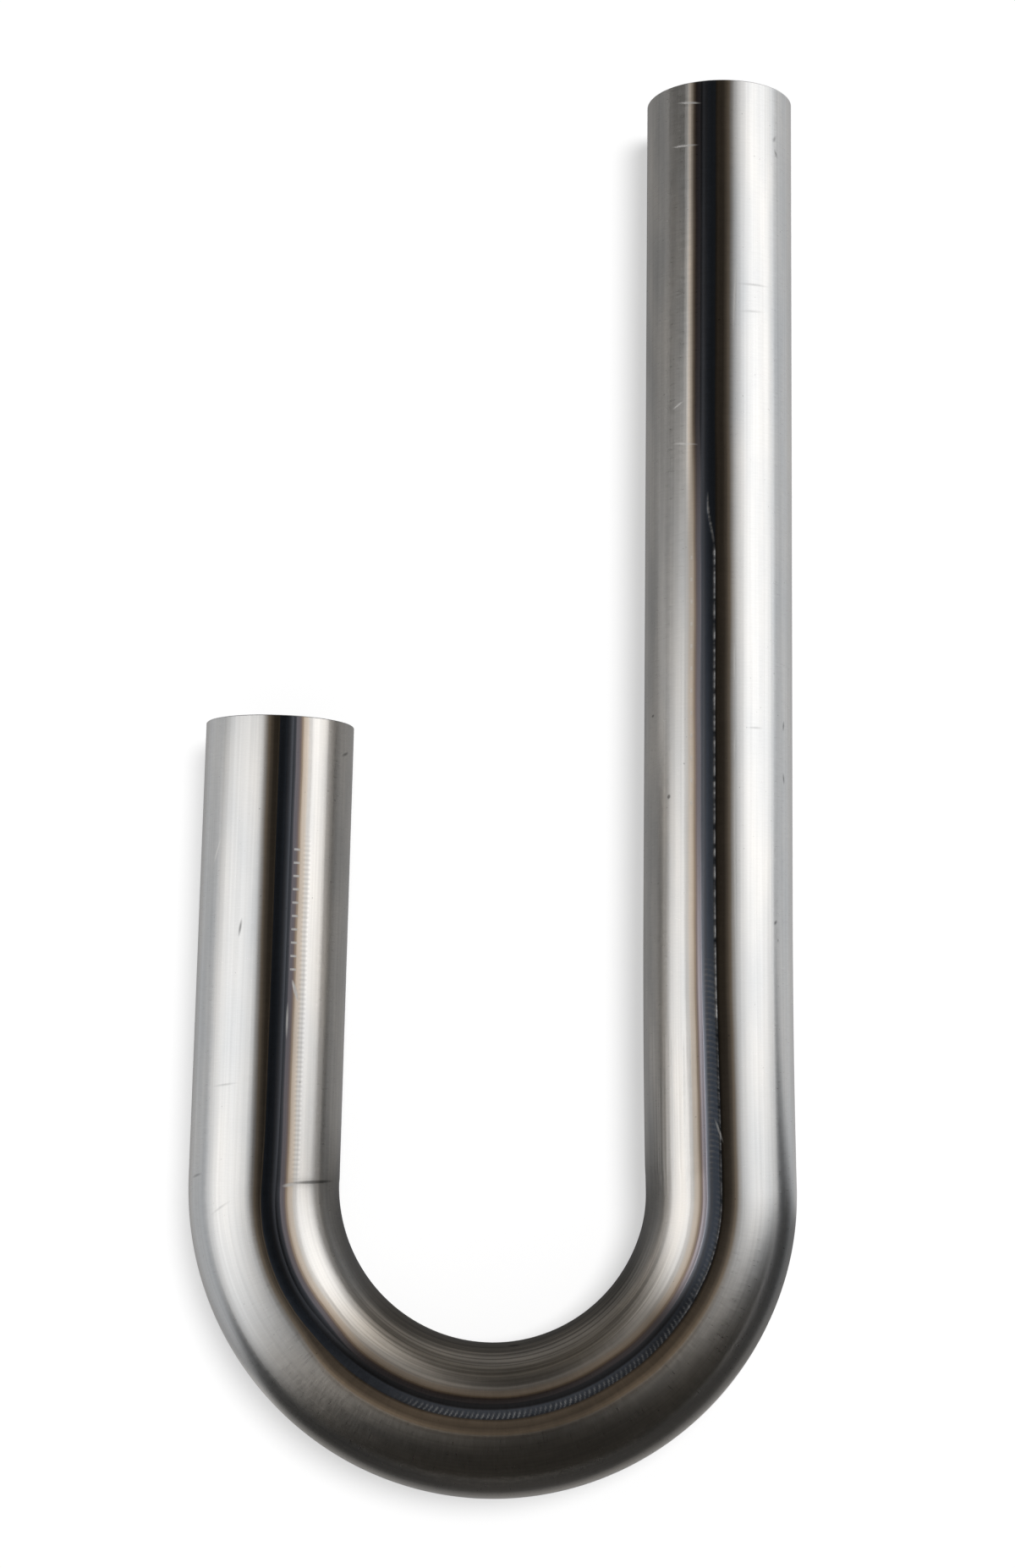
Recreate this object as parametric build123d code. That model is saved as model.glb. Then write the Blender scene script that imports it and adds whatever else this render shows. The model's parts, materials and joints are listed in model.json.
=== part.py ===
from build123d import *
import os
from math import radians, sqrt

# Exhaust J-bend: one piece of welded steel tube with a long leg, a half-turn bend and a short leg.
# It lies flat on a surface. Z is up, the long leg runs along +Y on the +X side, and the origin is
# the middle of the footprint, on that surface. Sizes are in millimetres and degrees.

# The tube, a 2 inch exhaust size in 16 gauge sheet
tube_diameter = 50.8
wall = 1.65

# The seam weld: a low cap outside and a root bead inside, off the top towards the inside of the bend
seam_angle = 11.2
cap_width = 5
cap_height = 0.12
root_width = 4.4
root_height = 0.2

# The centreline, from the end of the long leg to the end of the short one. The bender draws the last
# stretch of the long leg outwards a little, and closes the first degrees of the bend more tightly.
long_leg_straight = 285
drawn_length = 95
drawn_angle = 1.4
entry_radius = 69.4
entry_angle = 19.6
bend_radius = 77.2
bend_angle = 162.5
short_leg = 155

# Both ends are sawn square and their edges broken by a file
outer_edge_break = 0.25
inner_edge_break = 0.35


def centreline():
    """The route of the tube's middle: two legs in one plane, joined by tangent arcs."""
    long_leg = Line((0, 0), (0, -long_leg_straight))
    drawn_radius = drawn_length / radians(drawn_angle)
    drawn = JernArc(long_leg @ 1, long_leg % 1, drawn_radius, drawn_angle)
    entry = JernArc(drawn @ 1, drawn % 1, entry_radius, -entry_angle)
    bend = JernArc(entry @ 1, entry % 1, bend_radius, -bend_angle)
    short = Line(bend @ 1, bend @ 1 + (bend % 1) * short_leg)
    return Wire([long_leg, drawn, entry, bend, short])


def bead_circle(surface_radius, width, crest_radius):
    """The circle that gives a bead of this width its crown, where it stands on a round surface."""
    foot = sqrt(surface_radius**2 - (width / 2) ** 2)
    crown = abs(crest_radius - foot)
    radius = ((width / 2) ** 2 + crown**2) / (2 * crown)
    outwards = 1 if crest_radius > foot else -1
    return Pos(0, crest_radius - outwards * radius) * Circle(radius)


def section():
    """The ring of the wall, with the weld's cap outside and its root inside."""
    outer_radius = tube_diameter / 2
    bore_radius = outer_radius - wall
    cap = bead_circle(outer_radius, cap_width, outer_radius + cap_height)
    root = bead_circle(bore_radius, root_width, bore_radius - root_height)
    bore = Circle(bore_radius) - root
    return Rotation(0, 0, seam_angle) * (Circle(outer_radius) + cap - bore)


def end_frame(position, inwards):
    """A plane on an end of the tube: its normal runs into the tube and its y axis points up."""
    up = Vector(0, 0, 1)
    return Plane(origin=position, x_dir=up.cross(inwards), z_dir=inwards)


def edge_breaks():
    """What the file takes off the rim of an end that lies on the XY plane, with the tube above it."""
    outer_radius = tube_diameter / 2
    bore_radius = outer_radius - wall
    standing = Align.CENTER, Align.CENTER, Align.MIN
    outer_depth = outer_edge_break + cap_height
    narrow = outer_radius - outer_edge_break
    collar = Cylinder(outer_radius + outer_depth, outer_depth, align=standing)
    collar -= Cone(narrow, narrow + outer_depth, outer_depth, align=standing)
    inner_depth = inner_edge_break + root_height
    wide = bore_radius + inner_edge_break
    countersink = Cone(wide, wide - inner_depth, inner_depth, align=standing)
    return collar + countersink


def j_bend():
    """The bent tube, with its centreline on the XY plane and the long leg's end at the origin."""
    route = centreline()
    ends = end_frame(route @ 0, route % 0), end_frame(route @ 1, -(route % 1))
    tube = sweep(ends[0] * section(), path=route)
    for end in ends:
        tube -= end * edge_breaks()
    return tube


def lay_flat(tube):
    """Put the tube down with the middle of its footprint at the origin."""
    middle = tube.bounding_box().center()
    return Pos(-middle.X, -middle.Y, tube_diameter / 2) * tube


tube = lay_flat(j_bend())
os.makedirs("parts", exist_ok=True)
export_step(tube, "parts/j_bend_tube.step")
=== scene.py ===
import json
from math import atan2, cos, degrees, pi, radians, sin, tan

import bmesh
import bpy
from bpy.props import FloatProperty, FloatVectorProperty, IntProperty, PointerProperty
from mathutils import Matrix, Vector


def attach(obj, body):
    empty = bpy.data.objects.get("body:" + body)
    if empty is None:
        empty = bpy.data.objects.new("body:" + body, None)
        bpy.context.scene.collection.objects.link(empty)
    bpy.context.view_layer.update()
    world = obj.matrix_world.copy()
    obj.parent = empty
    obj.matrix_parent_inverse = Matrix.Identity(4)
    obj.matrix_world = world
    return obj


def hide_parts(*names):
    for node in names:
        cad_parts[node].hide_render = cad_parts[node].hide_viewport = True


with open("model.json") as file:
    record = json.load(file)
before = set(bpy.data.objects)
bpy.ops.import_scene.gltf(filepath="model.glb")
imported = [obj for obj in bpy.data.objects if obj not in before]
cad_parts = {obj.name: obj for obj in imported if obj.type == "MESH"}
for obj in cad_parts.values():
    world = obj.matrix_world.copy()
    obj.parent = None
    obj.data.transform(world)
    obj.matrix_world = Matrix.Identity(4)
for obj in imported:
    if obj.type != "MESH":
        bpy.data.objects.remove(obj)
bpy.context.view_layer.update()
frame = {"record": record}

bl_info = {
    "name": "Exhaust J-Bend",
    "version": (1, 0, 0),
    "blender": (4, 5, 0),
    "location": "View3D > Sidebar > J-Bend",
    "description": "A bent and seam-welded steel exhaust tube, with its heat tint and its bending marks",
    "category": "Add Mesh",
}

MM = 0.001

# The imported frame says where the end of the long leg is, and how high the middle of the tube lies
MOUNTS = {mount["name"]: mount for mount in frame["record"]["mounts"]}
LONG_END = Vector(MOUNTS["long_end_outside"]["pos_m"])
TUBE_RADIUS = MOUNTS["long_end_outside"]["dims"]["r_mm"] * MM
BORE_RADIUS = MOUNTS["long_end_bore"]["dims"]["r_mm"] * MM

UV_NAME = "UVMap"
UNBENT = "unbent"
# The weld's bare rubbed steel and its painted glint
RUBBED_AND_GLINT = "rubbed"


class JBendTubeSizes(bpy.types.PropertyGroup):
    """Sizes of the bent tube"""

    radius: FloatProperty(
        name="Outside Radius", description="From the middle of the tube to its skin",
        default=TUBE_RADIUS, unit="LENGTH", precision=5)
    wall: FloatProperty(
        name="Wall", description="Thickness of the sheet that the tube is rolled from",
        default=TUBE_RADIUS - BORE_RADIUS, unit="LENGTH", precision=5)
    long_leg: FloatProperty(
        name="Long Leg", description="Straight stretch of the long leg",
        default=285 * MM, unit="LENGTH", precision=4)
    drawn_length: FloatProperty(
        name="Drawn Stretch", description="The last of the long leg, drawn outwards by the bender",
        default=95 * MM, unit="LENGTH", precision=4)
    drawn_angle: FloatProperty(
        name="Drawn Angle", description="How far the drawn stretch turns outwards",
        default=radians(1.4), subtype="ANGLE")
    entry_radius: FloatProperty(
        name="Entry Radius", description="Centreline radius of the bend's first degrees",
        default=69.4 * MM, unit="LENGTH", precision=4)
    entry_angle: FloatProperty(
        name="Entry Angle", description="How far the tube turns at the entry radius",
        default=radians(19.6), subtype="ANGLE")
    bend_radius: FloatProperty(
        name="Bend Radius", description="Centreline radius of the rest of the bend",
        default=77.2 * MM, unit="LENGTH", precision=4)
    bend_angle: FloatProperty(
        name="Bend Angle", description="How far the tube turns at the bend radius",
        default=radians(162.5), subtype="ANGLE")
    short_leg: FloatProperty(
        name="Short Leg", description="Straight stretch of the short leg",
        default=155 * MM, unit="LENGTH", precision=4)
    outer_break: FloatProperty(
        name="Outer Edge Break", description="Width that a file takes off the outer edge of the rims",
        default=0.25 * MM, unit="LENGTH", precision=5)
    inner_break: FloatProperty(
        name="Inner Edge Break", description="Width that a file takes off the inner edge of the rims",
        default=0.35 * MM, unit="LENGTH", precision=5)
    waviness: FloatProperty(
        name="Waviness", description="How deep the long shallow waves of the rolled sheet are",
        default=0.03 * MM, unit="LENGTH", precision=5)
    die_step: FloatProperty(
        name="Die Step", description="How deep the bending die presses the inside of the bend",
        default=0.12 * MM, unit="LENGTH", precision=5)
    columns: IntProperty(
        name="Columns", description="Faces round the tube", default=160, min=24)
    rows: IntProperty(
        name="Rows", description="Faces along the outside of the tube", default=500, min=40)


class JBendWeldSizes(bpy.types.PropertyGroup):
    """Sizes of the seam weld"""

    angle: FloatProperty(
        name="Seam Angle", description="From the top of the tube towards the inside of the bend",
        default=radians(11.2), subtype="ANGLE")
    cap_width: FloatProperty(
        name="Cap Width", description="Width of the weld on the outside",
        default=5 * MM, unit="LENGTH", precision=5)
    cap_height: FloatProperty(
        name="Cap Height", description="How far the weld stands up from the skin",
        default=0.12 * MM, unit="LENGTH", precision=5)
    root_width: FloatProperty(
        name="Root Width", description="Width of the weld in the bore",
        default=4.4 * MM, unit="LENGTH", precision=5)
    root_height: FloatProperty(
        name="Root Height", description="How far the weld stands up in the bore",
        default=0.2 * MM, unit="LENGTH", precision=5)
    ripple_pitch: FloatProperty(
        name="Ripple Pitch", description="From one frozen ripple of the weld to the next",
        default=1.8 * MM, unit="LENGTH", precision=5)
    ripple_height: FloatProperty(
        name="Ripple Height", description="How deep the ripples of the weld are",
        default=0.03 * MM, unit="LENGTH", precision=5)
    row_length: FloatProperty(
        name="Row Length", description="Length of one face along the weld",
        default=0.38 * MM, unit="LENGTH", precision=5)


class JBendSteelColours(bpy.types.PropertyGroup):
    """Colours of the steel and of its heat tint"""

    steel: FloatVectorProperty(
        name="Steel", description="Bare drawn steel", subtype="COLOR", size=3, min=0, max=1,
        default=(0.58, 0.576, 0.568))
    straw: FloatVectorProperty(
        name="Straw", description="Outer edge of the heat tint", subtype="COLOR", size=3, min=0, max=1,
        default=(0.46, 0.4, 0.34))
    violet: FloatVectorProperty(
        name="Violet", description="Heat tint between the straw and the blue", subtype="COLOR",
        size=3, min=0, max=1, default=(0.112, 0.098, 0.102))
    brown: FloatVectorProperty(
        name="Brown", description="Dark scale beside the weld", subtype="COLOR", size=3, min=0, max=1,
        default=(0.158, 0.129, 0.1))
    blue_black: FloatVectorProperty(
        name="Blue Black", description="The weld itself", subtype="COLOR", size=3, min=0, max=1,
        default=(0.07, 0.082, 0.105))
    roughness: FloatProperty(
        name="Roughness", description="Roughness of the drawn skin", default=0.3, min=0, max=1,
        subtype="FACTOR")
    brushing: FloatProperty(
        name="Brushing", description="How much more the skin scatters along the tube than round it",
        default=0.7, min=0, max=1, subtype="FACTOR")


class JBendStudioSettings(bpy.types.PropertyGroup):
    """The floor, the soft panels and the camera"""

    floor_size: FloatProperty(
        name="Floor Size", description="Side of the pale floor", default=60, unit="LENGTH")
    floor_colour: FloatVectorProperty(
        name="Floor Colour", description="Plain pale floor", subtype="COLOR", size=3, min=0, max=1,
        default=(0.9, 0.9, 0.9))
    floor_glow: FloatProperty(
        name="Floor Glow", description="Share of the floor that is plain white to the camera and to metal",
        default=0.5, min=0, max=1, subtype="FACTOR")
    panel_light: FloatProperty(
        name="Panel Light", description="How bright the two soft panels are", default=1.82, min=0)
    top_light: FloatProperty(
        name="Top Light", description="Strength of the soft light from above, which only lights the floor",
        default=3.0, min=0)
    lens: FloatProperty(
        name="Lens", description="Focal length on a 36 mm sensor", default=60.17, subtype="DISTANCE_CAMERA")
    camera_place: FloatVectorProperty(
        name="Camera Place", description="Where the camera stands", size=3, subtype="TRANSLATION",
        unit="LENGTH", default=(22.126 * MM, -118.529 * MM, 918.129 * MM))
    camera_turn: FloatVectorProperty(
        name="Camera Turn", description="How the camera is turned from looking straight down",
        size=3, subtype="EULER", default=(radians(7.4567), radians(1.1041), radians(0.6765)))


class Value:
    """A socket of a node tree, with arithmetic that adds the nodes for it."""

    def __init__(self, tree, socket):
        self.tree = tree
        self.socket = socket

    def math(self, operation, *others, clamp=False):
        return node(self.tree, "ShaderNodeMath", self, *others, operation=operation, use_clamp=clamp)[0]

    def __add__(self, other):
        return self.math("ADD", other)

    def __radd__(self, other):
        return self.math("ADD", other)

    def __sub__(self, other):
        return self.math("SUBTRACT", other)

    def __rsub__(self, other):
        return node(self.tree, "ShaderNodeMath", other, self, operation="SUBTRACT")[0]

    def __mul__(self, other):
        return self.math("MULTIPLY", other)

    def __rmul__(self, other):
        return self.math("MULTIPLY", other)

    def __truediv__(self, other):
        return self.math("DIVIDE", other)

    def __rtruediv__(self, other):
        return node(self.tree, "ShaderNodeMath", other, self, operation="DIVIDE")[0]

    def __neg__(self):
        return self.math("MULTIPLY", -1)

    def sine(self):
        return self.math("SINE")

    def cosine(self):
        return self.math("COSINE")

    def size(self):
        return self.math("ABSOLUTE")

    def least(self, other):
        return self.math("MINIMUM", other)

    def most(self, other):
        return self.math("MAXIMUM", other)

    def clamped(self):
        return self.math("ADD", 0, clamp=True)

    def ramp(self, start, end, low=0, high=1, smooth=True):
        """From low at start to high at end, and flat beyond them."""
        kind = "SMOOTHSTEP" if smooth else "LINEAR"
        return node(self.tree, "ShaderNodeMapRange", self, start, end, low, high, interpolation_type=kind)[0]

    def hump(self, start, end, soft):
        """1 between start and end, and 0 at a soft distance outside them."""
        return self.ramp(start - soft, start) * self.ramp(end, end + soft, 1, 0)


def node(tree, kind, *values, named=None, **settings):
    """Add a node, give its inputs in order or by name, and return its outputs that are in use."""
    made = tree.nodes.new(kind)
    for setting, value in settings.items():
        setattr(made, setting, value)
    sockets = [socket for socket in made.inputs if socket.enabled]
    given = list(zip(sockets, values)) + [(made.inputs[name], value) for name, value in (named or {}).items()]
    for socket, value in given:
        if isinstance(value, Value):
            tree.links.new(value.socket, socket)
        elif value is not None:
            socket.default_value = value
    return [Value(tree, socket) for socket in made.outputs if socket.enabled]


def vector(tree, x, y, z):
    return node(tree, "ShaderNodeCombineXYZ", x, y, z)[0]


def vector_math(tree, operation, *values):
    return node(tree, "ShaderNodeVectorMath", *values, operation=operation)[0]


def scaled(tree, direction, factor):
    return node(tree, "ShaderNodeVectorMath", direction, named={"Scale": factor}, operation="SCALE")[0]


def noise(tree, place, scale, detail=2.0, roughness=0.5, seed=0.0):
    """Smooth noise from 0 to 1 at a place, with a fixed seed."""
    inputs = {"Vector": place, "W": seed, "Scale": scale, "Detail": detail, "Roughness": roughness}
    return node(tree, "ShaderNodeTexNoise", named=inputs, noise_dimensions="4D")[0]


# The geometry trees: every piece is a grid whose rows run along the route and whose columns run round it


def new_geometry_tree(name, inputs):
    """A geometry tree with named inputs, and their sockets by name."""
    tree = bpy.data.node_groups.new(name, "GeometryNodeTree")
    tree.is_modifier = True
    kinds = {"float": "NodeSocketFloat", "int": "NodeSocketInt", "object": "NodeSocketObject"}
    for title, kind in inputs:
        tree.interface.new_socket(title, in_out="INPUT", socket_type=kinds[kind])
    tree.interface.new_socket("Geometry", in_out="OUTPUT", socket_type="NodeSocketGeometry")
    sockets = tree.nodes.new("NodeGroupInput").outputs
    return tree, {title: Value(tree, sockets[title]) for title, _ in inputs}


def route_points(sizes):
    """Bezier knots of the tube's middle: each has a place, a heading and the handle lengths on its two sides."""
    place = Vector((LONG_END.x, LONG_END.y + sizes.outer_break))
    heading = -pi / 2
    knots = [[place.copy(), heading, 0.0, 0.0]]
    drawn_radius = sizes.drawn_length / sizes.drawn_angle
    stretches = [
        (sizes.long_leg, 0.0, 1),
        (drawn_radius, sizes.drawn_angle, 1),
        (sizes.entry_radius, -sizes.entry_angle, 1),
        (sizes.bend_radius, -sizes.bend_angle, 3),
        (sizes.short_leg, 0.0, 1),
    ]
    for length_or_radius, turn, pieces in stretches:
        for _ in range(pieces):
            part = turn / pieces
            if turn:
                chord = 2 * length_or_radius * sin(abs(part) / 2)
                handle = 4 / 3 * tan(abs(part) / 4) * length_or_radius
            else:
                chord = length_or_radius
                handle = chord / 3
            knots[-1][3] = handle
            course = heading + part / 2
            place = place + Vector((cos(course), sin(course))) * chord
            heading += part
            knots.append([place.copy(), heading, handle, 0.0])
    return knots


def route_length(sizes):
    bends = sizes.entry_radius * sizes.entry_angle + sizes.bend_radius * sizes.bend_angle
    return sizes.long_leg + sizes.drawn_length + bends + sizes.short_leg


def draw_route(sizes):
    """The curve object that the geometry trees follow."""
    curve = bpy.data.curves.new("tube_route", "CURVE")
    curve.dimensions = "3D"
    curve.resolution_u = 64
    spline = curve.splines.new("BEZIER")
    knots = route_points(sizes)
    spline.bezier_points.add(len(knots) - 1)
    for point, (place, heading, back, ahead) in zip(spline.bezier_points, knots):
        middle = Vector((place.x, place.y, sizes.radius))
        along = Vector((cos(heading), sin(heading), 0))
        point.handle_left_type = "FREE"
        point.handle_right_type = "FREE"
        point.co = middle
        point.handle_left = middle - along * (back or ahead)
        point.handle_right = middle + along * (ahead or back)
    route = bpy.data.objects.new("tube_route", curve)
    bpy.context.scene.collection.objects.link(route)
    return route


def route_curve(tree, route):
    return node(tree, "GeometryNodeObjectInfo", named={"Object": route}, transform_space="ORIGINAL")[-1]


def on_route(tree, curve, along, angle, radius):
    """The place at a length along the route, an angle off the top towards the inside of the bend, and a radius."""
    sampled = node(
        tree, "GeometryNodeSampleCurve", named={"Curves": curve, "Length": along}, mode="LENGTH")
    place, tangent = sampled[1], sampled[2]
    up = (0.0, 0.0, 1.0)
    inwards = vector_math(tree, "CROSS_PRODUCT", tangent, up)
    level = vector_math(tree, "NORMALIZE", inwards)
    out = scaled(tree, level, angle.sine() * radius)
    rise = vector(tree, 0.0, 0.0, angle.cosine() * radius)
    return vector_math(tree, "ADD", vector_math(tree, "ADD", place, out), rise)


def seam_wander(tree, along):
    """How far the seam has slid round the tube at a length along it, in degrees, where the bender gripped it."""
    curve = tree.nodes.new("ShaderNodeFloatCurve")
    line = curve.mapping.curves[0]
    slides = [
        (0, 0), (245, 0), (305, -0.8), (340, -2.2), (380, -3.0), (415, -1.6), (440, 0), (470, 1.0),
        (530, 0.4), (560, -0.4), (580, -2.6), (598, -3.7), (612, -3.0), (628, -1.4), (650, -0.6), (778, -0.3),
    ]
    length = slides[-1][0]
    reach = 5
    points = [(at / length, 0.5 + slide / (2 * reach)) for at, slide in slides]
    while len(line.points) < len(points):
        line.points.new(0, 0)
    for point, place in zip(line.points, points):
        point.location = place
    curve.mapping.update()
    tree.links.new((along / (length * MM)).socket, curve.inputs["Value"])
    return (Value(tree, curve.outputs[0]) - 0.5) * (2 * radians(reach))


def stored(tree, geometry, name, value, kind="FLOAT_VECTOR", domain="POINT"):
    inputs = {"Geometry": geometry, "Name": name, "Value": value}
    return node(tree, "GeometryNodeStoreNamedAttribute", named=inputs, data_type=kind, domain=domain)[0]


def mapped_grid(tree, rows, columns):
    """A grid, and where its points are along its rows and columns, from 0 to 1 and from -0.5 to 0.5."""
    inputs = {"Size X": 1.0, "Size Y": 1.0, "Vertices X": rows, "Vertices Y": columns}
    grid = node(tree, "GeometryNodeMeshGrid", named=inputs)[0]
    place = node(tree, "GeometryNodeInputPosition")[0]
    x, y, _ = node(tree, "ShaderNodeSeparateXYZ", place)
    return grid, x + 0.5, y


def spread_columns(column):
    """The angle of a column from the seam: columns stand closer beside the seam than opposite it."""
    crowding = 0.6
    turn = column * (2 * pi)
    return turn - turn.sine() * crowding


def skin(tree, given, rows, along, radius, turned_out):
    """One skin of the tube: a grid round the route, with its map and its unbent place stored on it."""
    curve = route_curve(tree, given["Route"])
    grid, row, column = mapped_grid(tree, rows, given["Columns"] + 1)
    off_seam = spread_columns(column)
    s = along(row)
    angle = off_seam + given["Seam Angle"] + seam_wander(tree, s)
    reach = radius(row, s, angle, off_seam)
    chart = vector(tree, s, off_seam * given["Radius"], 0.0)
    grid = stored(tree, grid, UV_NAME, chart, "FLOAT2", "CORNER")
    unbent = vector(tree, s, angle.sine() * reach, angle.cosine() * reach)
    grid = stored(tree, grid, UNBENT, unbent)
    place = on_route(tree, curve, s, angle, reach)
    made = node(tree, "GeometryNodeSetPosition", named={"Geometry": grid, "Position": place})[0]
    return node(tree, "GeometryNodeFlipFaces", made)[0] if turned_out else made


def dents(tree, given, s, angle):
    """How far the skin lies under its true round: the waves of the sheet and the press of the bending die."""
    degrees_round = angle * degrees(1)
    place = vector(tree, s * 18.0, angle.sine() * 1.1, angle.cosine() * 1.1)
    waves = noise(tree, place, 1.0, detail=1.5, seed=3.0) * given["Waviness"]
    pressed = s.ramp(372 * MM, 375 * MM) * s.ramp(621.5 * MM, 623 * MM, 1, 0)
    gripped = degrees_round.ramp(14, 26) * degrees_round.ramp(150, 165, 1, 0)
    return waves + pressed * gripped * given["Die Step"]


def build_tube_tree(materials):
    """The tree of the tube: two skins and two rims, welded into one closed shell."""
    inputs = [
        ("Route", "object"), ("Length", "float"), ("Radius", "float"), ("Wall", "float"),
        ("Seam Angle", "float"), ("Outer Break", "float"), ("Inner Break", "float"),
        ("Root Width", "float"), ("Root Height", "float"), ("Waviness", "float"), ("Die Step", "float"),
        ("Columns", "int"), ("Rows", "int"), ("Bore Rows", "int"),
    ]
    tree, given = new_geometry_tree("bent_tube_tree", inputs)
    length, radius = given["Length"], given["Radius"]
    bore = radius - given["Wall"]

    def outer_radius(row, s, angle, off_seam):
        return radius - dents(tree, given, s, angle)

    def root_bead(s, off_seam):
        across = (off_seam * bore / (given["Root Width"] * 0.5)).size().least(1.0)
        lumps = noise(tree, vector(tree, s, 0.0, 0.0), 90.0, seed=8.0) * 0.6 + 0.7
        return (1 - across * across) * given["Root Height"] * lumps

    def bore_radius(row, s, angle, off_seam):
        return bore - dents(tree, given, s, angle) - root_bead(s, off_seam)

    outer = given["Outer Break"]
    inner = given["Inner Break"]
    outside = skin(
        tree, given, given["Rows"] + 1, lambda row: outer + row * (length - outer * 2), outer_radius, True)
    inside = skin(
        tree, given, given["Bore Rows"] + 1, lambda row: inner + row * (length - inner * 2), bore_radius, False)

    def rim(far):
        # Over the sawn face: outer edge, outer edge break, inner edge break, inner edge
        last = 5.0

        def along(row):
            step = row * last
            depth = step.ramp(1, 0, 0, 1, smooth=False) * outer + step.ramp(4, 5, 0, 1, smooth=False) * inner
            return length - depth if far else depth

        def reach(row, s, angle, off_seam):
            step = row * last
            outer_edge = outer_radius(row, s, angle, off_seam)
            inner_edge = bore_radius(row, s, angle, off_seam)
            cut_outer = outer_edge - outer
            cut_inner = inner_edge + inner
            flat = cut_outer + (cut_inner - cut_outer) * step.ramp(1, 4, 0, 1, smooth=False)
            down = flat + outer * step.ramp(1, 0, 0, 1, smooth=False)
            return down - inner * step.ramp(4, 5, 0, 1, smooth=False)

        return skin(tree, given, 6, along, reach, far)

    def region(geometry, number):
        return stored(tree, geometry, "region", number, "INT", "FACE")

    parts = [region(outside, 0), region(rim(False), 1), region(rim(True), 1), region(inside, 2)]
    joined = tree.nodes.new("GeometryNodeJoinGeometry")
    for part in parts:
        tree.links.new(part.socket, joined.inputs[0])
    shell = Value(tree, joined.outputs[0])
    merged = node(tree, "GeometryNodeMergeByDistance", named={"Geometry": shell, "Distance": 0.002 * MM})[0]
    finish_tree(tree, merged, materials)
    return tree


def finish_tree(tree, geometry, materials):
    """Smooth shading with crisp corners, real geometry, and a material for each region."""
    corner = node(tree, "GeometryNodeInputMeshEdgeAngle")[0]
    smooth = node(tree, "GeometryNodeSetShadeSmooth", named={"Geometry": geometry, "Shade Smooth": True})[0]
    sharp = node(tree, "FunctionNodeCompare", corner, radians(28), operation="GREATER_THAN")[0]
    inputs = {"Geometry": smooth, "Selection": sharp, "Shade Smooth": False}
    creased = node(tree, "GeometryNodeSetShadeSmooth", named=inputs, domain="EDGE")[0]
    real = node(tree, "GeometryNodeRealizeInstances", creased)[0]
    region = node(tree, "GeometryNodeInputNamedAttribute", named={"Name": "region"}, data_type="INT")[0]
    for number, material in enumerate(materials):
        chosen = node(tree, "FunctionNodeCompare", region, number, data_type="INT", operation="EQUAL")[0]
        inputs = {"Geometry": real, "Selection": chosen, "Material": material}
        real = node(tree, "GeometryNodeSetMaterial", named=inputs)[0]
    out = tree.nodes.new("NodeGroupOutput")
    tree.links.new(real.socket, out.inputs["Geometry"])


def build_weld_tree(material):
    """The tree of the weld's cap: a long low bead on the seam, with frozen ripples and closed ends."""
    inputs = [
        ("Route", "object"), ("Length", "float"), ("Radius", "float"), ("Seam Angle", "float"),
        ("Cap Width", "float"), ("Cap Height", "float"), ("Sunk", "float"), ("End Gap", "float"),
        ("Ripple Pitch", "float"), ("Ripple Height", "float"), ("Columns", "int"), ("Rows", "int"),
    ]
    tree, given = new_geometry_tree("seam_weld_tree", inputs)
    length, radius = given["Length"], given["Radius"]
    curve = route_curve(tree, given["Route"])
    columns = given["Columns"]
    grid, row, column = mapped_grid(tree, given["Rows"] + 3, columns + 3)

    # The first and last rows are drawn together into one point, which closes the ends
    row_number = row * (given["Rows"] + 2)
    open_row = row_number.least(given["Rows"] + 2 - row_number).least(1.0)
    share = ((row_number - 1) / given["Rows"]).clamped()
    s = given["End Gap"] + share * (length - given["End Gap"] * 2)

    # The first and last columns lie under the skin and meet there
    column_number = (column + 0.5) * (columns + 2)
    on_top = column_number.least(columns + 2 - column_number).least(1.0)
    across = (((column_number - 1) / columns).clamped() * pi - pi / 2).sine()
    half = given["Cap Width"] * 0.5
    offset = across * half * on_top

    wobble = noise(tree, vector(tree, s * 30.0, across * 0.6, 0.0), 1.0, seed=5.0) * 2 - 1
    edge = (1 - across * across) * (given["Cap Height"] * (1.0 + wobble * 0.25))
    ridge = toe_ridge(tree, s, across)
    scales, scale_zone = weld_scales(tree, given, s, across)
    crown = 1 - across * across
    top = edge + scales * scale_zone * crown * given["Ripple Height"] + ridge * (0.09 * MM)
    # Partly bare rubbed steel and partly painted glint: the toe ridge and the scale crests are made bright in the
    # skin's material
    rubbed = ridge + scales.ramp(0.1, 0.5) * (scale_zone - 0.12).clamped() * 0.4
    height = (top + given["Sunk"]) * on_top - given["Sunk"]

    middle = -given["Sunk"] * 0.5
    height = middle + (height - middle) * open_row
    offset = offset * open_row
    seam = given["Seam Angle"] + seam_wander(tree, s)
    angle = seam + offset / radius
    chart = vector(tree, s, offset, 0.0)
    grid = stored(tree, grid, UV_NAME, chart, "FLOAT2", "CORNER")
    reach = radius + height
    grid = stored(tree, grid, UNBENT, vector(tree, s, angle.sine() * reach, angle.cosine() * reach))
    grid = stored(tree, grid, "region", 0, "INT", "FACE")
    grid = stored(tree, grid, RUBBED_AND_GLINT, rubbed, "FLOAT")
    place = on_route(tree, curve, s, angle, reach)
    made = node(tree, "GeometryNodeSetPosition", named={"Geometry": grid, "Position": place})[0]
    turned = node(tree, "GeometryNodeFlipFaces", made)[0]
    merged = node(tree, "GeometryNodeMergeByDistance", named={"Geometry": turned, "Distance": 0.002 * MM})[0]
    finish_tree(tree, merged, [material])
    return tree


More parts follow.
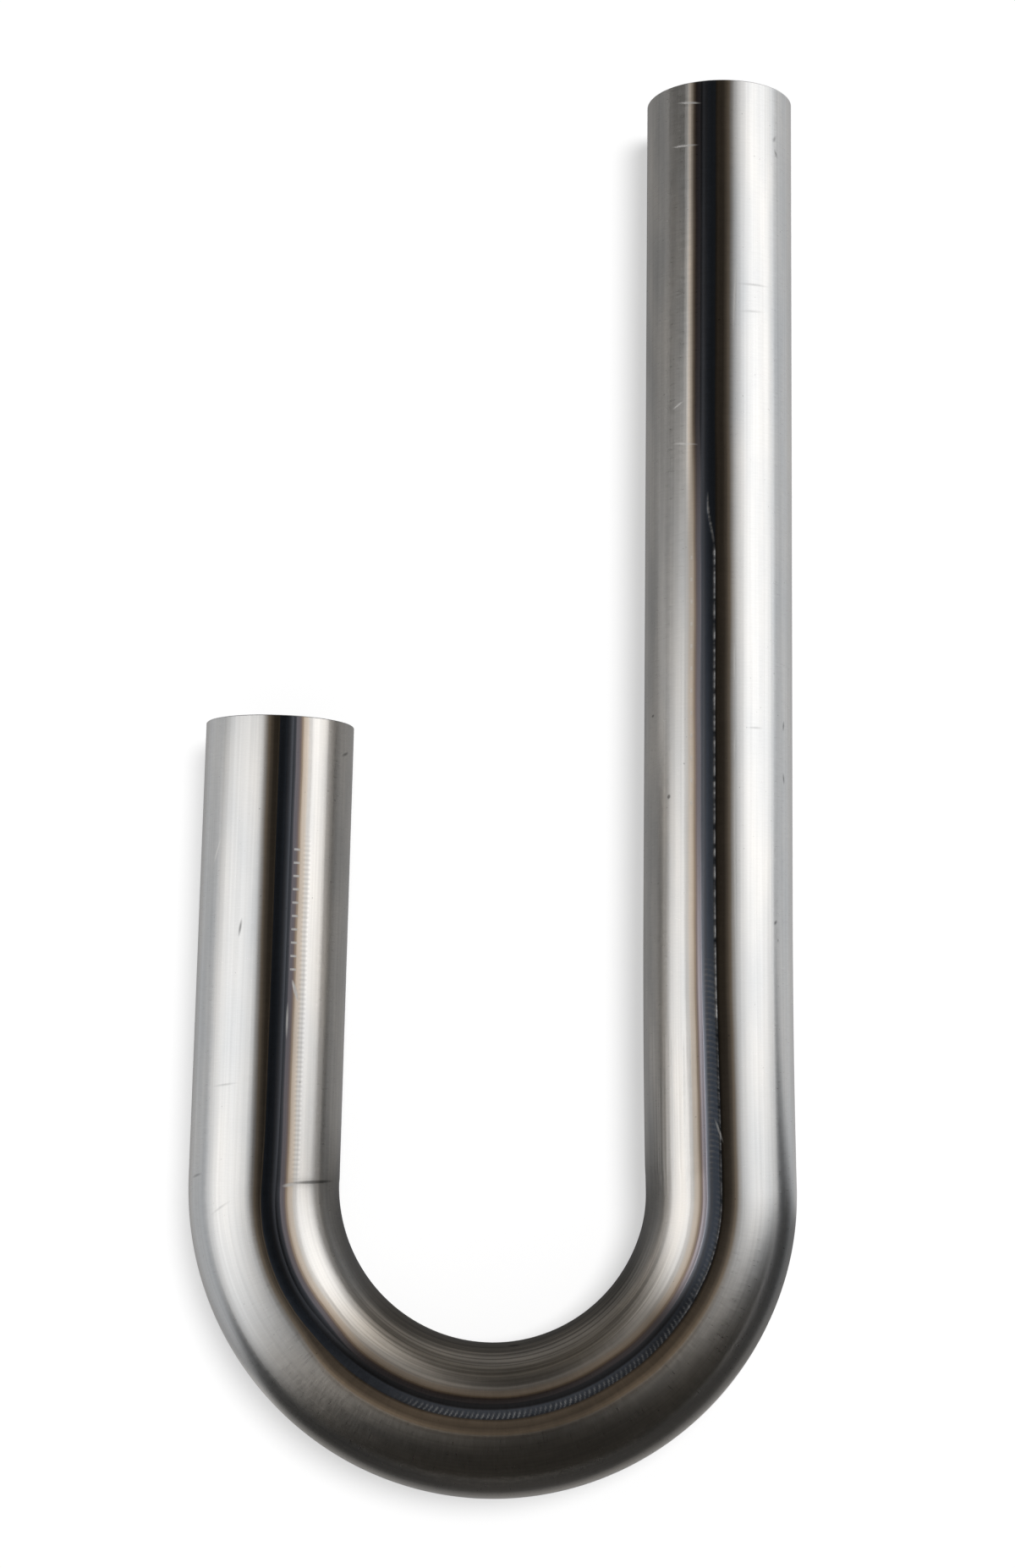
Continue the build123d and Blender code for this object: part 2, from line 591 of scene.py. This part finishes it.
def toe_ridge(tree, s, across):
    """The ragged ridge that runs down to the lower toe of the weld in the long leg, and fades out in the bend."""
    lumps = noise(tree, vector(tree, s * 260.0, 0.0, 0.0), 1.0, detail=3.0, seed=12.0).ramp(0.34, 0.56)
    chips = noise(tree, vector(tree, s * 1100.0, across * 1.5, 0.0), 1.0, detail=2.0, seed=13.0).ramp(0.35, 0.6)
    line = s.ramp(149 * MM, 166 * MM, 0.0, -0.84)
    present = s.hump(149 * MM, 322 * MM, 4 * MM) + s.hump(322 * MM, 420 * MM, 12 * MM) * 0.45
    return (across - line).size().ramp(0.05, 0.17, 1, 0) * lumps * (0.4 + chips * 0.6) * present


def weld_scales(tree, given, s, across):
    """Frozen scales and where they show: clear before the bend, slanted on one side in it, and faint elsewhere."""
    jitter = noise(tree, vector(tree, s, 0.0, 0.0), 160.0, seed=2.0) * 0.9
    bow = across * across * 0.35 - across * 0.3
    phase = (s / given["Ripple Pitch"] + jitter - bow) * (2 * pi)
    scales = phase.sine() * 0.5 + (phase * 2).sine() * 0.18
    clear = s.hump(310 * MM, 368 * MM, 10 * MM) * across.ramp(0.35, 0.75, 1, 0)
    slanted = s.hump(384 * MM, 520 * MM, 16 * MM) * across.ramp(-0.5, 0.0, 1, 0)
    ragged = noise(tree, vector(tree, s * 90.0, across * 2.0, 0.0), 1.0, detail=3.0, seed=14.0).ramp(0.35, 0.6)
    return scales, (clear + slanted) * (0.35 + ragged * 0.65) + 0.12


def grow(name, tree, sizes):
    """The plain mesh piece that a geometry tree makes with these inputs."""
    host = bpy.data.objects.new(name + "_host", bpy.data.meshes.new(name + "_host"))
    bpy.context.scene.collection.objects.link(host)
    modifier = host.modifiers.new(name, "NODES")
    modifier.node_group = tree
    for item in tree.interface.items_tree:
        if item.item_type == "SOCKET" and item.in_out == "INPUT":
            modifier[item.identifier] = sizes[item.name]
    depsgraph = bpy.context.evaluated_depsgraph_get()
    depsgraph.update()
    mesh = bpy.data.meshes.new_from_object(host.evaluated_get(depsgraph))
    mesh.name = name
    host.modifiers.remove(modifier)
    blank = host.data
    bpy.data.objects.remove(host)
    bpy.data.meshes.remove(blank)
    piece = bpy.data.objects.new(name, mesh)
    bpy.context.scene.collection.objects.link(piece)
    if not mesh.polygons:
        raise RuntimeError(f"the tree of {name} made no faces")
    return piece


# The steel


def new_material(name):
    material = bpy.data.materials.new(name)
    material.use_nodes = True
    tree = material.node_tree
    tree.nodes.clear()
    return material, tree


def colour_ramp(tree, factor, stops, interpolation="EASE"):
    """A colour along a factor, from stops of a place from 0 to 1 and a colour."""
    made = tree.nodes.new("ShaderNodeValToRGB")
    ramp = made.color_ramp
    ramp.interpolation = interpolation
    while len(ramp.elements) < len(stops):
        ramp.elements.new(0.5)
    for element, (place, colour) in zip(ramp.elements, stops):
        element.position = place
        element.color = (*colour, 1.0)
    tree.links.new(factor.socket, made.inputs["Fac"])
    return Value(tree, made.outputs["Color"])


def mixed(tree, factor, a, b, blend="MIX"):
    inputs = {"Factor": factor, "A": a, "B": b}
    made = tree.nodes.new("ShaderNodeMix")
    made.data_type = "RGBA"
    made.blend_type = blend
    colour_inputs = {"Factor": made.inputs[0], "A": made.inputs[6], "B": made.inputs[7]}
    for name, value in inputs.items():
        if isinstance(value, Value):
            tree.links.new(value.socket, colour_inputs[name])
        else:
            colour_inputs[name].default_value = value if name == "Factor" else (*value, 1.0)
    return Value(tree, made.outputs[2])


def surface_places(tree):
    """Millimetres along the tube and round it from the seam, and the unbent place in millimetres."""
    chart = node(tree, "ShaderNodeUVMap", uv_map=UV_NAME)[0]
    u, v, _ = node(tree, "ShaderNodeSeparateXYZ", chart)
    attribute = node(tree, "ShaderNodeAttribute", attribute_name=UNBENT)[1]
    return u * 1000, v * 1000, scaled(tree, attribute, 1000.0)


def steel_shader(tree, colour, roughness, normal, brushing):
    made = tree.nodes.new("ShaderNodeBsdfPrincipled")
    made.inputs["Metallic"].default_value = 1.0
    made.inputs["Anisotropic"].default_value = brushing
    tree.links.new(colour.socket, made.inputs["Base Color"])
    tree.links.new(roughness.socket, made.inputs["Roughness"])
    if normal:
        tree.links.new(normal.socket, made.inputs["Normal"])
    tangent = node(tree, "ShaderNodeTangent", direction_type="UV_MAP", uv_map=UV_NAME)[0]
    tree.links.new(tangent.socket, made.inputs["Tangent"])
    finish_material(tree, Value(tree, made.outputs[0]))


def heat_tint(tree, off_seam, colours):
    """The colours that the weld's heat left, by millimetres from the seam."""
    reach = 12.0

    def times(colour, factor, warmth=0.0):
        return [part * factor * (1 + warmth * lean) for part, lean in zip(colour, (1, 0, -1))]

    steel, brown, blue_black = colours.steel, colours.brown, colours.blue_black
    violet, straw = colours.violet, colours.straw
    stops = [
        (-9.4, steel), (-8.3, times(steel, 0.82, 0.04)), (-7.1, times(brown, 2.2)), (-6.2, times(brown, 1.5)),
        (-5.2, brown), (-3.6, times(brown, 1.05)), (-2.9, times(brown, 0.7)), (-2.3, blue_black),
        (0.1, blue_black), (0.9, times(blue_black, 0.85, 0.1)), (2.1, times(blue_black, 1.1, 0.1)),
        (2.7, times(violet, 1.8, -0.05)), (3.3, times(violet, 1.5, -0.05)), (3.95, times(violet, 1.3, 0.08)),
        (4.6, times(straw, 0.6, 0.1)), (5.1, times(straw, 1.08, 0.04)), (5.7, times(straw, 1.24)),
        (6.4, times(straw, 1.27, -0.02)), (7.2, times(steel, 0.94, 0.03)), (8.0, times(steel, 0.98, 0.01)),
        (8.8, steel),
    ]
    factor = off_seam.ramp(-reach, reach, smooth=False)
    return colour_ramp(tree, factor, [((at + reach) / (2 * reach), colour) for at, colour in stops])


# Marks on the skin. Each has its middle in millimetres along the tube and round it from the seam, its length,
# its turn in degrees from the tube's own direction, its width, and how strongly it shows.
SCRATCHES = [
    (7.3, 7.2, 9.6, -80, 0.5, 1.0), (22.5, 9.0, 11.4, -85, 0.45, 0.9), (114.5, 11.2, 6.0, 62, 0.4, 0.5),
    (128.3, 8.4, 10.6, -82, 0.45, 0.5), (78.0, -9.0, 26.0, 2, 0.5, 0.6), (204.0, -9.1, 14.0, 0, 0.4, 0.6),
    (233.0, -9.1, 13.0, 1, 0.4, 0.6), (268.0, -9.1, 80.0, 0, 0.5, 0.7), (360.0, -1.9, 9.0, -18, 0.5, 1.0),
    (685.5, 6.1, 8.0, -18, 0.7, 1.0), (675.5, 3.7, 13.0, 0, 0.5, 0.6), (732.0, -24.6, 9.6, 21, 0.5, 0.8),
    (621.6, 7.2, 5.6, 80, 0.9, 0.6),
]
DARK_MARKS = [
    (249.0, 14.6, 2.0, 30, 0.8, 1.0), (220.5, 23.4, 2.0, 80, 0.6, 0.8), (224.0, -30.2, 4.0, 6, 0.7, 0.6),
    (242.0, -30.2, 4.6, -8, 0.7, 0.6), (18.5, -25.2, 3.4, 30, 0.8, 0.4), (23.5, -26.0, 3.6, -30, 0.7, 0.5),
    (291.0, -25.0, 2.6, 40, 0.7, 0.6), (706.0, -13.4, 7.0, 8, 0.6, 0.7), (489.0, 27.6, 7.0, 8, 0.9, 0.9),
    (622.6, 16.8, 22.0, 88, 0.8, 0.9), (72.5, -16.0, 14.0, 88, 0.6, 0.25), (82.0, -15.5, 11.0, 86, 0.6, 0.2),
    (226.0, -16.5, 7.0, 88, 0.5, 0.25), (615.0, -16.5, 10.0, 66, 0.5, 0.2), (654.0, -17.0, 11.0, 82, 0.5, 0.25),
    (624.0, -29.0, 8.0, 78, 0.6, 0.4), (767.0, 25.5, 6.0, 70, 0.7, 0.6),
]


def marked(tree, s, off_seam, marks):
    """Where any of these marks lies. The trail holds the place on the skin and the strongest mark so far."""
    trail = vector(tree, s, off_seam, 0.0)
    for along, around, length, turn, width, strength in marks:
        inputs = {
            "Vector": trail, "Location": (along, around, 0), "Rotation": (0, 0, radians(turn)),
            "Scale": (length / 2, width, 1000),
        }
        placed = node(tree, "ShaderNodeMapping", named=inputs, vector_type="TEXTURE")[0]
        mark = node(tree, "ShaderNodeTexGradient", placed, gradient_type="SPHERICAL")[1] * (strength * 2)
        s, off_seam, found = node(tree, "ShaderNodeSeparateXYZ", trail)
        trail = vector(tree, s, off_seam, found.most(mark))
    return node(tree, "ShaderNodeSeparateXYZ", trail)[2].clamped()


def row_of_marks(s, off_seam, start, end, pitch, low, high, half_width):
    """A row of short marks across the tube from start to end, one each pitch, between low and high off the seam."""
    from_nearest = (s - start).math("WRAP", pitch / 2, -pitch / 2).size()
    row = s.hump(start - pitch / 4, end + pitch / 4, 0.3) * off_seam.hump(low, high, 0.3)
    return from_nearest.ramp(half_width * 0.4, half_width, 1, 0) * row


def make_skin_steel(colours):
    """Drawn steel: heat tint along the seam, fine brushing, cloudy patina, bending marks and scratches, with
    painted shade in the bend and near the long end, and a painted sheen and glint on the weld.
    """
    material, tree = new_material("drawn_steel")
    s, off_seam, unbent = surface_places(tree)
    drift = (noise(tree, vector(tree, s * 0.03, 0.0, 0.0), 1.0, seed=1.0) - 0.5) * 1.0
    slide = s.ramp(545, 575) * s.ramp(610, 650, 1.8, 1.1) + s.ramp(90, 190, 0.4, 0)
    on_bead = off_seam.size().ramp(1.8, 2.8, 1, 0)
    lower_slide = s.ramp(555, 585) * s.ramp(640, 720, 1.2, 0.4) * off_seam.ramp(-2, -1, 1, 0)
    tinted = off_seam + (drift - slide - lower_slide) * (1 - on_bead)
    tint = heat_tint(tree, tinted, colours)
    cloud = noise(tree, vector_math(tree, "MULTIPLY", unbent, (0.02, 0.09, 0.09)), 1.0, detail=5.0, seed=4.0)
    fine = noise(tree, vector_math(tree, "MULTIPLY", unbent, (1.6, 0.25, 0.25)), 1.0, detail=3.0, seed=6.0)
    drag = noise(tree, vector_math(tree, "MULTIPLY", unbent, (0.008, 1.1, 1.1)), 1.0, detail=4.0, seed=9.0)

    # The die has dulled the inside of the bend, dragged long lines along it and rubbed bright ones before it. The
    # inside of the bend is also darkened with painted shade.
    in_bend = s.ramp(395, 440) * s.ramp(545, 585, 1, 0)
    dulled_and_shaded = in_bend * off_seam.ramp(5, 13) * off_seam.ramp(62, 72, 1, 0)
    lines = drag.ramp(0.35, 0.65)
    gripped = s.hump(334, 372, 12) * off_seam.hump(8, 24, 3)
    dragged = drag.ramp(0.52, 0.6) * gripped
    # Painted shade: the inside of the bend is made darker, partly for the die's dulling and partly for the shade
    # there
    shade = fine.ramp(0.3, 0.7, 0.96, 1.04, smooth=False) * (1 - dulled_and_shaded * 0.45)
    shade = shade * (lines - 0.5).math("MULTIPLY_ADD", 0.1 + dulled_and_shaded * 0.6 + gripped * 0.2, 1.0)

    # Cloudy patina, which is deeper on the inner side and in the bend, and a darker strip along the seam in the
    # bend
    upper = off_seam.ramp(12, 24)
    shade = shade * (1 + (cloud - 0.5) * (0.35 + upper * 0.5 + in_bend * 0.6))
    darker_seam_in_bend = s.ramp(408, 432) * s.ramp(545, 578, 1, 0) * off_seam.ramp(0.1, 0.9) * off_seam.ramp(5, 14, 1, 0)
    shade = shade * (1 - darker_seam_in_bend * 0.7)

    # Near the long end the heat tint is darker, partly with painted shade, and its pale edge is a painted
    # highlight; the bead gets a painted sheen as well as wear where its scales are worn, and the band beside it is
    # paler
    near_end = s.ramp(110, 170, 1, 0)
    # Painted shade darkens the tint beside the bead near the long end, and a painted highlight brightens the tint's
    # pale edge there
    shade = shade * (1 + near_end * (off_seam.hump(6.8, 7.4, 0.7) * 0.6 - off_seam.hump(2.6, 5.2, 1) * 0.55))
    bead_sheen_and_wear = s.ramp(120, 345) * s.ramp(395, 425, 1, 0) * off_seam.hump(-1.4, 1.2, 0.8)
    worn_tint = s.ramp(240, 370) * s.ramp(395, 425, 1, 0) * off_seam.hump(1.9, 3.4, 0.8)
    # Painted sheen: the bead's colour is raised where its worn scales would catch light from the side
    shade = shade * (1 + bead_sheen_and_wear * 2.5 + worn_tint * 2.4)
    ladder = (s * (2 * pi / 1.6)).sine() * s.hump(630, 730, 12) * tinted.hump(6.5, 8.6, 0.6)
    shade = shade * (1 + ladder * 0.1)
    # Warm patina in the bend and on the inner side, and a slight cool painted reflection tint 25 to 32 mm off the
    # seam towards the outside, where the right panel's bright band ends
    warmth = in_bend * 0.07 + off_seam.ramp(5, 12) * 0.025 + (cloud - 0.5) * 0.1 - off_seam.hump(-32, -25, 3) * 0.02
    hue = vector(tree, 1 + warmth, 1.0, 1 - warmth * 1.2)

    # Rubbed and scratched steel is bare and bright, the weld's toe ridge and scale crests are bare steel with a
    # painted glint, and pits are dark
    dots = row_of_marks(s, off_seam, 168, 251, 7.6, 5.5, 5.9, 0.9) * 0.5
    rungs = row_of_marks(s, off_seam, 692.5, 732.5, 4.45, 4.2, 6.0, 0.5) * 0.8
    scratched = marked(tree, s, off_seam, SCRATCHES).most(dots).most(rungs)
    pitted = marked(tree, s, off_seam, DARK_MARKS)
    specks = noise(tree, scaled(tree, unbent, 0.8), 1.0, detail=1.0, seed=15.0).ramp(0.74, 0.8)
    rubbed = node(tree, "ShaderNodeAttribute", attribute_name=RUBBED_AND_GLINT)[2]
    bright = scratched.most(rubbed).most(dragged * 0.7).clamped()
    dark = pitted.most(specks * 0.6)
    colour = vector_math(tree, "MULTIPLY", scaled(tree, tint, shade * (1 - dark * 0.6)), hue)
    colour = mixed(tree, bright * 0.8, colour, (0.8, 0.79, 0.77))
    baked = tinted.hump(4.8, 7.8, 0.8).most(tinted.hump(-7.5, -3.2, 0.8))
    roughness = fine.ramp(0.3, 0.7, colours.roughness - 0.03, colours.roughness + 0.03, smooth=False)
    roughness = roughness + baked * 0.12 + dulled_and_shaded * 0.08 + bright * 0.2 + on_bead * 0.08 + bead_sheen_and_wear * 0.2
    height = fine * 0.5 + cloud + lines * (0.4 + dulled_and_shaded * 1.6) - scratched - pitted * 1.5
    bump = node(
        tree, "ShaderNodeBump", named={"Strength": 0.5, "Distance": 0.01 * MM, "Height": height})[0]
    steel_shader(tree, colour, roughness, bump, colours.brushing)
    return material


def make_plain_steel(name, colour, roughness, brushing):
    """Plain steel with a little grain, for the sawn rims and the bore."""
    material, tree = new_material(name)
    s, off_seam, unbent = surface_places(tree)
    grain = noise(tree, vector_math(tree, "MULTIPLY", unbent, (0.8, 3.0, 3.0)), 1.0, detail=4.0, seed=7.0)
    shade = mixed(tree, grain.ramp(0.3, 0.7), [0.8 * part for part in colour], [1.1 * part for part in colour])
    rough = grain.ramp(0.3, 0.7, roughness - 0.05, roughness + 0.05)
    bump = node(tree, "ShaderNodeBump", named={"Strength": 0.5, "Distance": 0.02 * MM, "Height": grain})[0]
    steel_shader(tree, shade, rough, bump, brushing)
    return material


# The studio


def seen_rays(tree):
    """1 for what the camera sees, straight or in metal or glass, and 0 for light that spreads."""
    rays = tree.nodes.new("ShaderNodeLightPath")
    camera = Value(tree, rays.outputs["Is Camera Ray"])
    glossy = Value(tree, rays.outputs["Is Glossy Ray"])
    through = Value(tree, rays.outputs["Is Transmission Ray"])
    return camera.most(glossy).most(through)


def stage_sheet(name, corners, material):
    """A flat piece of the stage, from four corners in millimetres."""
    mesh = bpy.data.meshes.new(name)
    mesh.from_pydata([[MM * part for part in corner] for corner in corners], [], [(0, 1, 2, 3)])
    mesh.materials.append(material)
    sheet = bpy.data.objects.new(name, mesh)
    bpy.context.scene.collection.objects.link(sheet)
    return sheet


def finish_material(tree, surface):
    out = tree.nodes.new("ShaderNodeOutputMaterial")
    tree.links.new(surface.socket, out.inputs["Surface"])


def lay_floor(settings):
    """A plain pale floor that keeps the object's shadow, and is partly plain white to the camera and to metal."""
    material, tree = new_material("pale_floor")
    matt = node(tree, "ShaderNodeBsdfDiffuse", (*settings.floor_colour, 1.0))[0]
    glow = node(tree, "ShaderNodeEmission", (1.0, 1.0, 1.0, 1.0), 1.0)[0]
    surface = node(tree, "ShaderNodeMixShader", seen_rays(tree) * settings.floor_glow, matt, glow)[0]
    finish_material(tree, surface)
    half = settings.floor_size / 2 / MM
    corners = [(-half, -half, 0), (half, -half, 0), (half, half, 0), (-half, half, 0)]
    stage_sheet("studio_floor", corners, material)


def only_in_reflections(thing):
    """Leave a piece of the studio out of everything but the reflections on the steel."""
    thing.visible_camera = False
    thing.visible_diffuse = False
    thing.visible_shadow = False
    thing.visible_transmission = False
    thing.visible_volume_scatter = False


def floor_places(tree):
    """Where a point of the stage is, across the tube and along it, in millimetres."""
    place = scaled(tree, node(tree, "ShaderNodeTexCoord")[3], 1 / MM)
    x, y, _ = node(tree, "ShaderNodeSeparateXYZ", place)
    return x, y


def lay_reflected_shade_card():
    """A card of painted shade on the floor that only the steel reflects: it is darker inside the J, beside the legs
    and the bend, and below the bend.
    """
    material, tree = new_material("grey_card")
    x, y = floor_places(tree)
    # Painted shade for the reflected floor: darkest close beside the legs, inside the J and round the bend
    shade_beside_legs = x.size().ramp(108, 150, 0.5, 0.28) + x.ramp(-108, -90, 0.12, 0)
    between_legs = x.hump(-45, 45, 40) * y.ramp(-230, -210) * y.ramp(-150, -110, 0.91, 0.7)
    past_short_leg = x.ramp(45, 85, 1, 0) * y.ramp(60, 160) * 0.73
    bend_middle = (0, -138)
    away = ((x - bend_middle[0]).math("POWER", 2) + (y - bend_middle[1]).math("POWER", 2)).math("SQRT")
    below = (x * 0.35 - 180 - y).ramp(-30, 30)
    beyond = away.ramp(108, 165, 0.68, 0.954) * away.ramp(85, 100) * below
    beside_bend = x.ramp(70, 100) * y.ramp(-155, -130, 0.82, 0)
    dark = between_legs.most(past_short_leg).most(beyond).most(beside_bend).most(shade_beside_legs)
    clear = node(tree, "ShaderNodeBsdfTransparent")[0]
    black = node(tree, "ShaderNodeBsdfDiffuse", (0.0, 0.0, 0.0, 1.0))[0]
    finish_material(tree, node(tree, "ShaderNodeMixShader", dark, clear, black)[0])
    lift = 0.3
    corners = [(-900, -1400, lift), (900, -1400, lift), (900, 600, lift), (-900, 600, lift)]
    only_in_reflections(stage_sheet("grey_card", corners, material))


def left_glow(down, x, y):
    """The left panel fades towards its head, its foot and its far end, and its near edge is on the slant."""
    across = down.ramp(0, 0.12, smooth=False) * down.ramp(0.12, 0.46, 0.94, 1) * down.ramp(0.57, 0.95, 1, 0.62)
    near_edge = (x + 267) * 0.9 - 380
    return across * (y - near_edge).ramp(-50, 317) * (y + down * 80).ramp(150, 315, 1, 0)


def right_glow(down, x, y):
    """The right panel fades slowly towards its head, and its near edge slants away at its foot."""
    across = down.ramp(0.02, 0.37, smooth=False) * down.ramp(0.6, 0.95, 1, 0.8)
    near_edge = (x - 715).most(0) * 0.16 - 250
    return across * (y - near_edge).ramp(-80, 80, smooth=False)


def hang_panel(name, head, foot, near, far, strength, glow):
    """A soft panel from its head down to its foot, both places across the tube, and from near to far along it."""
    material, tree = new_material(name)
    x, y = floor_places(tree)
    down = (x - head[0]) / (foot[0] - head[0])
    level = glow(down, x, y) * strength
    finish_material(tree, node(tree, "ShaderNodeEmission", (1.0, 1.0, 1.0, 1.0), level)[0])
    corners = [(foot[0], near, foot[1]), (foot[0], far, foot[1]), (head[0], far, head[1]), (head[0], near, head[1])]
    only_in_reflections(stage_sheet(name, corners, material))


def build_room():
    """The dim room that the steel reflects: grey beyond the far end, and dark overhead and behind the bend."""
    material, tree = new_material("dim_room")
    place = node(tree, "ShaderNodeTexCoord")[3]
    _, y, _ = node(tree, "ShaderNodeSeparateXYZ", place)
    level = y.ramp(-0.3, 0.9, 0.027, 0.1)
    warm_grey = (1.0, 0.95, 0.87, 1.0)
    finish_material(tree, node(tree, "ShaderNodeEmission", warm_grey, level)[0])
    material.cycles.emission_sampling = "NONE"
    room = bmesh.new()
    bmesh.ops.create_uvsphere(room, u_segments=48, v_segments=24, radius=1.6)
    below = [vertex for vertex in room.verts if vertex.co.z < -0.01]
    bmesh.ops.delete(room, geom=below, context="VERTS")
    mesh = bpy.data.meshes.new("dim_room")
    room.to_mesh(mesh)
    room.free()
    mesh.materials.append(material)
    dome = bpy.data.objects.new("dim_room", mesh)
    bpy.context.scene.collection.objects.link(dome)
    only_in_reflections(dome)


def hang_top_light(strength):
    """A broad soft light from above and a little to the right, for the floor: it makes no mark on the steel."""
    light = bpy.data.lights.new("top_light", "SUN")
    light.energy = strength
    light.angle = radians(22)
    lamp = bpy.data.objects.new("top_light", light)
    lamp.rotation_euler = Vector((0.22, 0.2, 1)).to_track_quat("Z", "Y").to_euler()
    lamp.visible_glossy = False
    bpy.context.scene.collection.objects.link(lamp)


def fill_world(fill):
    """A white surround behind everything, and an even fill for the floor."""
    world = bpy.data.worlds.new("white_surround")
    world.use_nodes = True
    tree = world.node_tree
    tree.nodes.clear()
    strength = seen_rays(tree).ramp(0, 1, fill, 1, smooth=False)
    background = node(tree, "ShaderNodeBackground", (1.0, 1.0, 1.0, 1.0), strength)[0]
    out = tree.nodes.new("ShaderNodeOutputWorld")
    tree.links.new(background.socket, out.inputs["Surface"])
    bpy.context.scene.world = world


def place_camera(settings):
    camera_data = bpy.data.cameras.new("photo_camera")
    camera_data.lens = settings.lens
    camera_data.sensor_width = 36
    camera_data.clip_start = 0.01
    camera_data.clip_end = 200
    camera = bpy.data.objects.new("photo_camera", camera_data)
    camera.location = settings.camera_place
    camera.rotation_euler = settings.camera_turn
    bpy.context.scene.collection.objects.link(camera)
    bpy.context.scene.camera = camera


class JBEND_OT_set_up_studio(bpy.types.Operator):
    """Lay the floor, hang the soft panels and place the camera"""

    bl_idname = "jbend.set_up_studio"
    bl_label = "Set Up Studio"

    def execute(self, context):
        settings = context.scene.jbend_studio
        context.scene.view_settings.view_transform = "Standard"
        lay_floor(settings)
        light = settings.panel_light
        hang_panel("left_panel", (-200, 650), (-1000, 2), -1000, 270, light * 0.88, left_glow)
        hang_panel("right_panel", (230, 900), (1200, 2), -320, 850, light, right_glow)
        lay_reflected_shade_card()
        build_room()
        hang_top_light(settings.top_light)
        fill_world(0.25)
        place_camera(settings)
        return {"FINISHED"}


class JBEND_OT_bend_tube(bpy.types.Operator):
    """Make the bent tube, with its bore and its two sawn rims"""

    bl_idname = "jbend.bend_tube"
    bl_label = "Bend Tube"

    def execute(self, context):
        sizes = context.scene.jbend_tube
        weld = context.scene.jbend_weld
        colours = context.scene.jbend_colours
        materials = [
            make_skin_steel(colours),
            make_plain_steel("sawn_steel", (0.4, 0.4, 0.4), 0.4, 0.2),
            make_plain_steel("bore_steel", (0.33, 0.317, 0.304), 0.5, 0.3),
        ]
        tree = build_tube_tree(materials)
        route = draw_route(sizes)
        inputs = {
            "Route": route, "Length": route_length(sizes), "Radius": sizes.radius, "Wall": sizes.wall,
            "Seam Angle": weld.angle, "Outer Break": sizes.outer_break, "Inner Break": sizes.inner_break,
            "Root Width": weld.root_width, "Root Height": weld.root_height, "Waviness": sizes.waviness,
            "Die Step": sizes.die_step, "Columns": sizes.columns, "Rows": sizes.rows, "Bore Rows": 80,
        }
        tube = grow("bent_tube", tree, inputs)
        bpy.data.objects.remove(route)
        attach(tube, "root")
        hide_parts("j_bend_tube")
        return {"FINISHED"}


class JBEND_OT_lay_seam_weld(bpy.types.Operator):
    """Lay the cap of the seam weld along the tube"""

    bl_idname = "jbend.lay_seam_weld"
    bl_label = "Lay Seam Weld"

    def execute(self, context):
        sizes = context.scene.jbend_tube
        weld = context.scene.jbend_weld
        steel = bpy.data.materials["drawn_steel"]
        tree = build_weld_tree(steel)
        route = draw_route(sizes)
        length = route_length(sizes)
        inputs = {
            "Route": route, "Length": length, "Radius": sizes.radius, "Seam Angle": weld.angle,
            "Cap Width": weld.cap_width, "Cap Height": weld.cap_height, "Sunk": sizes.wall / 3,
            "End Gap": sizes.outer_break, "Ripple Pitch": weld.ripple_pitch,
            "Ripple Height": weld.ripple_height, "Columns": 20, "Rows": int(length / weld.row_length),
        }
        cap = grow("seam_weld_cap", tree, inputs)
        bpy.data.objects.remove(route)
        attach(cap, "root")
        return {"FINISHED"}


class JBEND_PT_sidebar(bpy.types.Panel):
    """The sizes and steps of the J-bend"""

    bl_label = "Exhaust J-Bend"
    bl_idname = "JBEND_PT_sidebar"
    bl_space_type = "VIEW_3D"
    bl_region_type = "UI"
    bl_category = "J-Bend"

    def draw(self, context):
        for title, group in (("Tube", "jbend_tube"), ("Weld", "jbend_weld"), ("Steel", "jbend_colours"),
                             ("Studio", "jbend_studio")):
            settings = getattr(context.scene, group)
            box = self.layout.box()
            box.label(text=title)
            for name in settings.__annotations__:
                box.prop(settings, name)
        for operator in STEPS:
            self.layout.operator(operator.bl_idname)


STEPS = (JBEND_OT_set_up_studio, JBEND_OT_bend_tube, JBEND_OT_lay_seam_weld)
GROUPS = {
    "jbend_tube": JBendTubeSizes,
    "jbend_weld": JBendWeldSizes,
    "jbend_colours": JBendSteelColours,
    "jbend_studio": JBendStudioSettings,
}


def register():
    for group_class in (*GROUPS.values(), *STEPS, JBEND_PT_sidebar):
        bpy.utils.register_class(group_class)
    for name, group_class in GROUPS.items():
        setattr(bpy.types.Scene, name, PointerProperty(type=group_class))


def unregister():
    for name in GROUPS:
        delattr(bpy.types.Scene, name)
    for group_class in reversed((*GROUPS.values(), *STEPS, JBEND_PT_sidebar)):
        bpy.utils.unregister_class(group_class)


def main():
    register()
    bpy.ops.jbend.set_up_studio()
    bpy.ops.jbend.bend_tube()
    bpy.ops.jbend.lay_seam_weld()


if __name__ == "__main__":
    main()
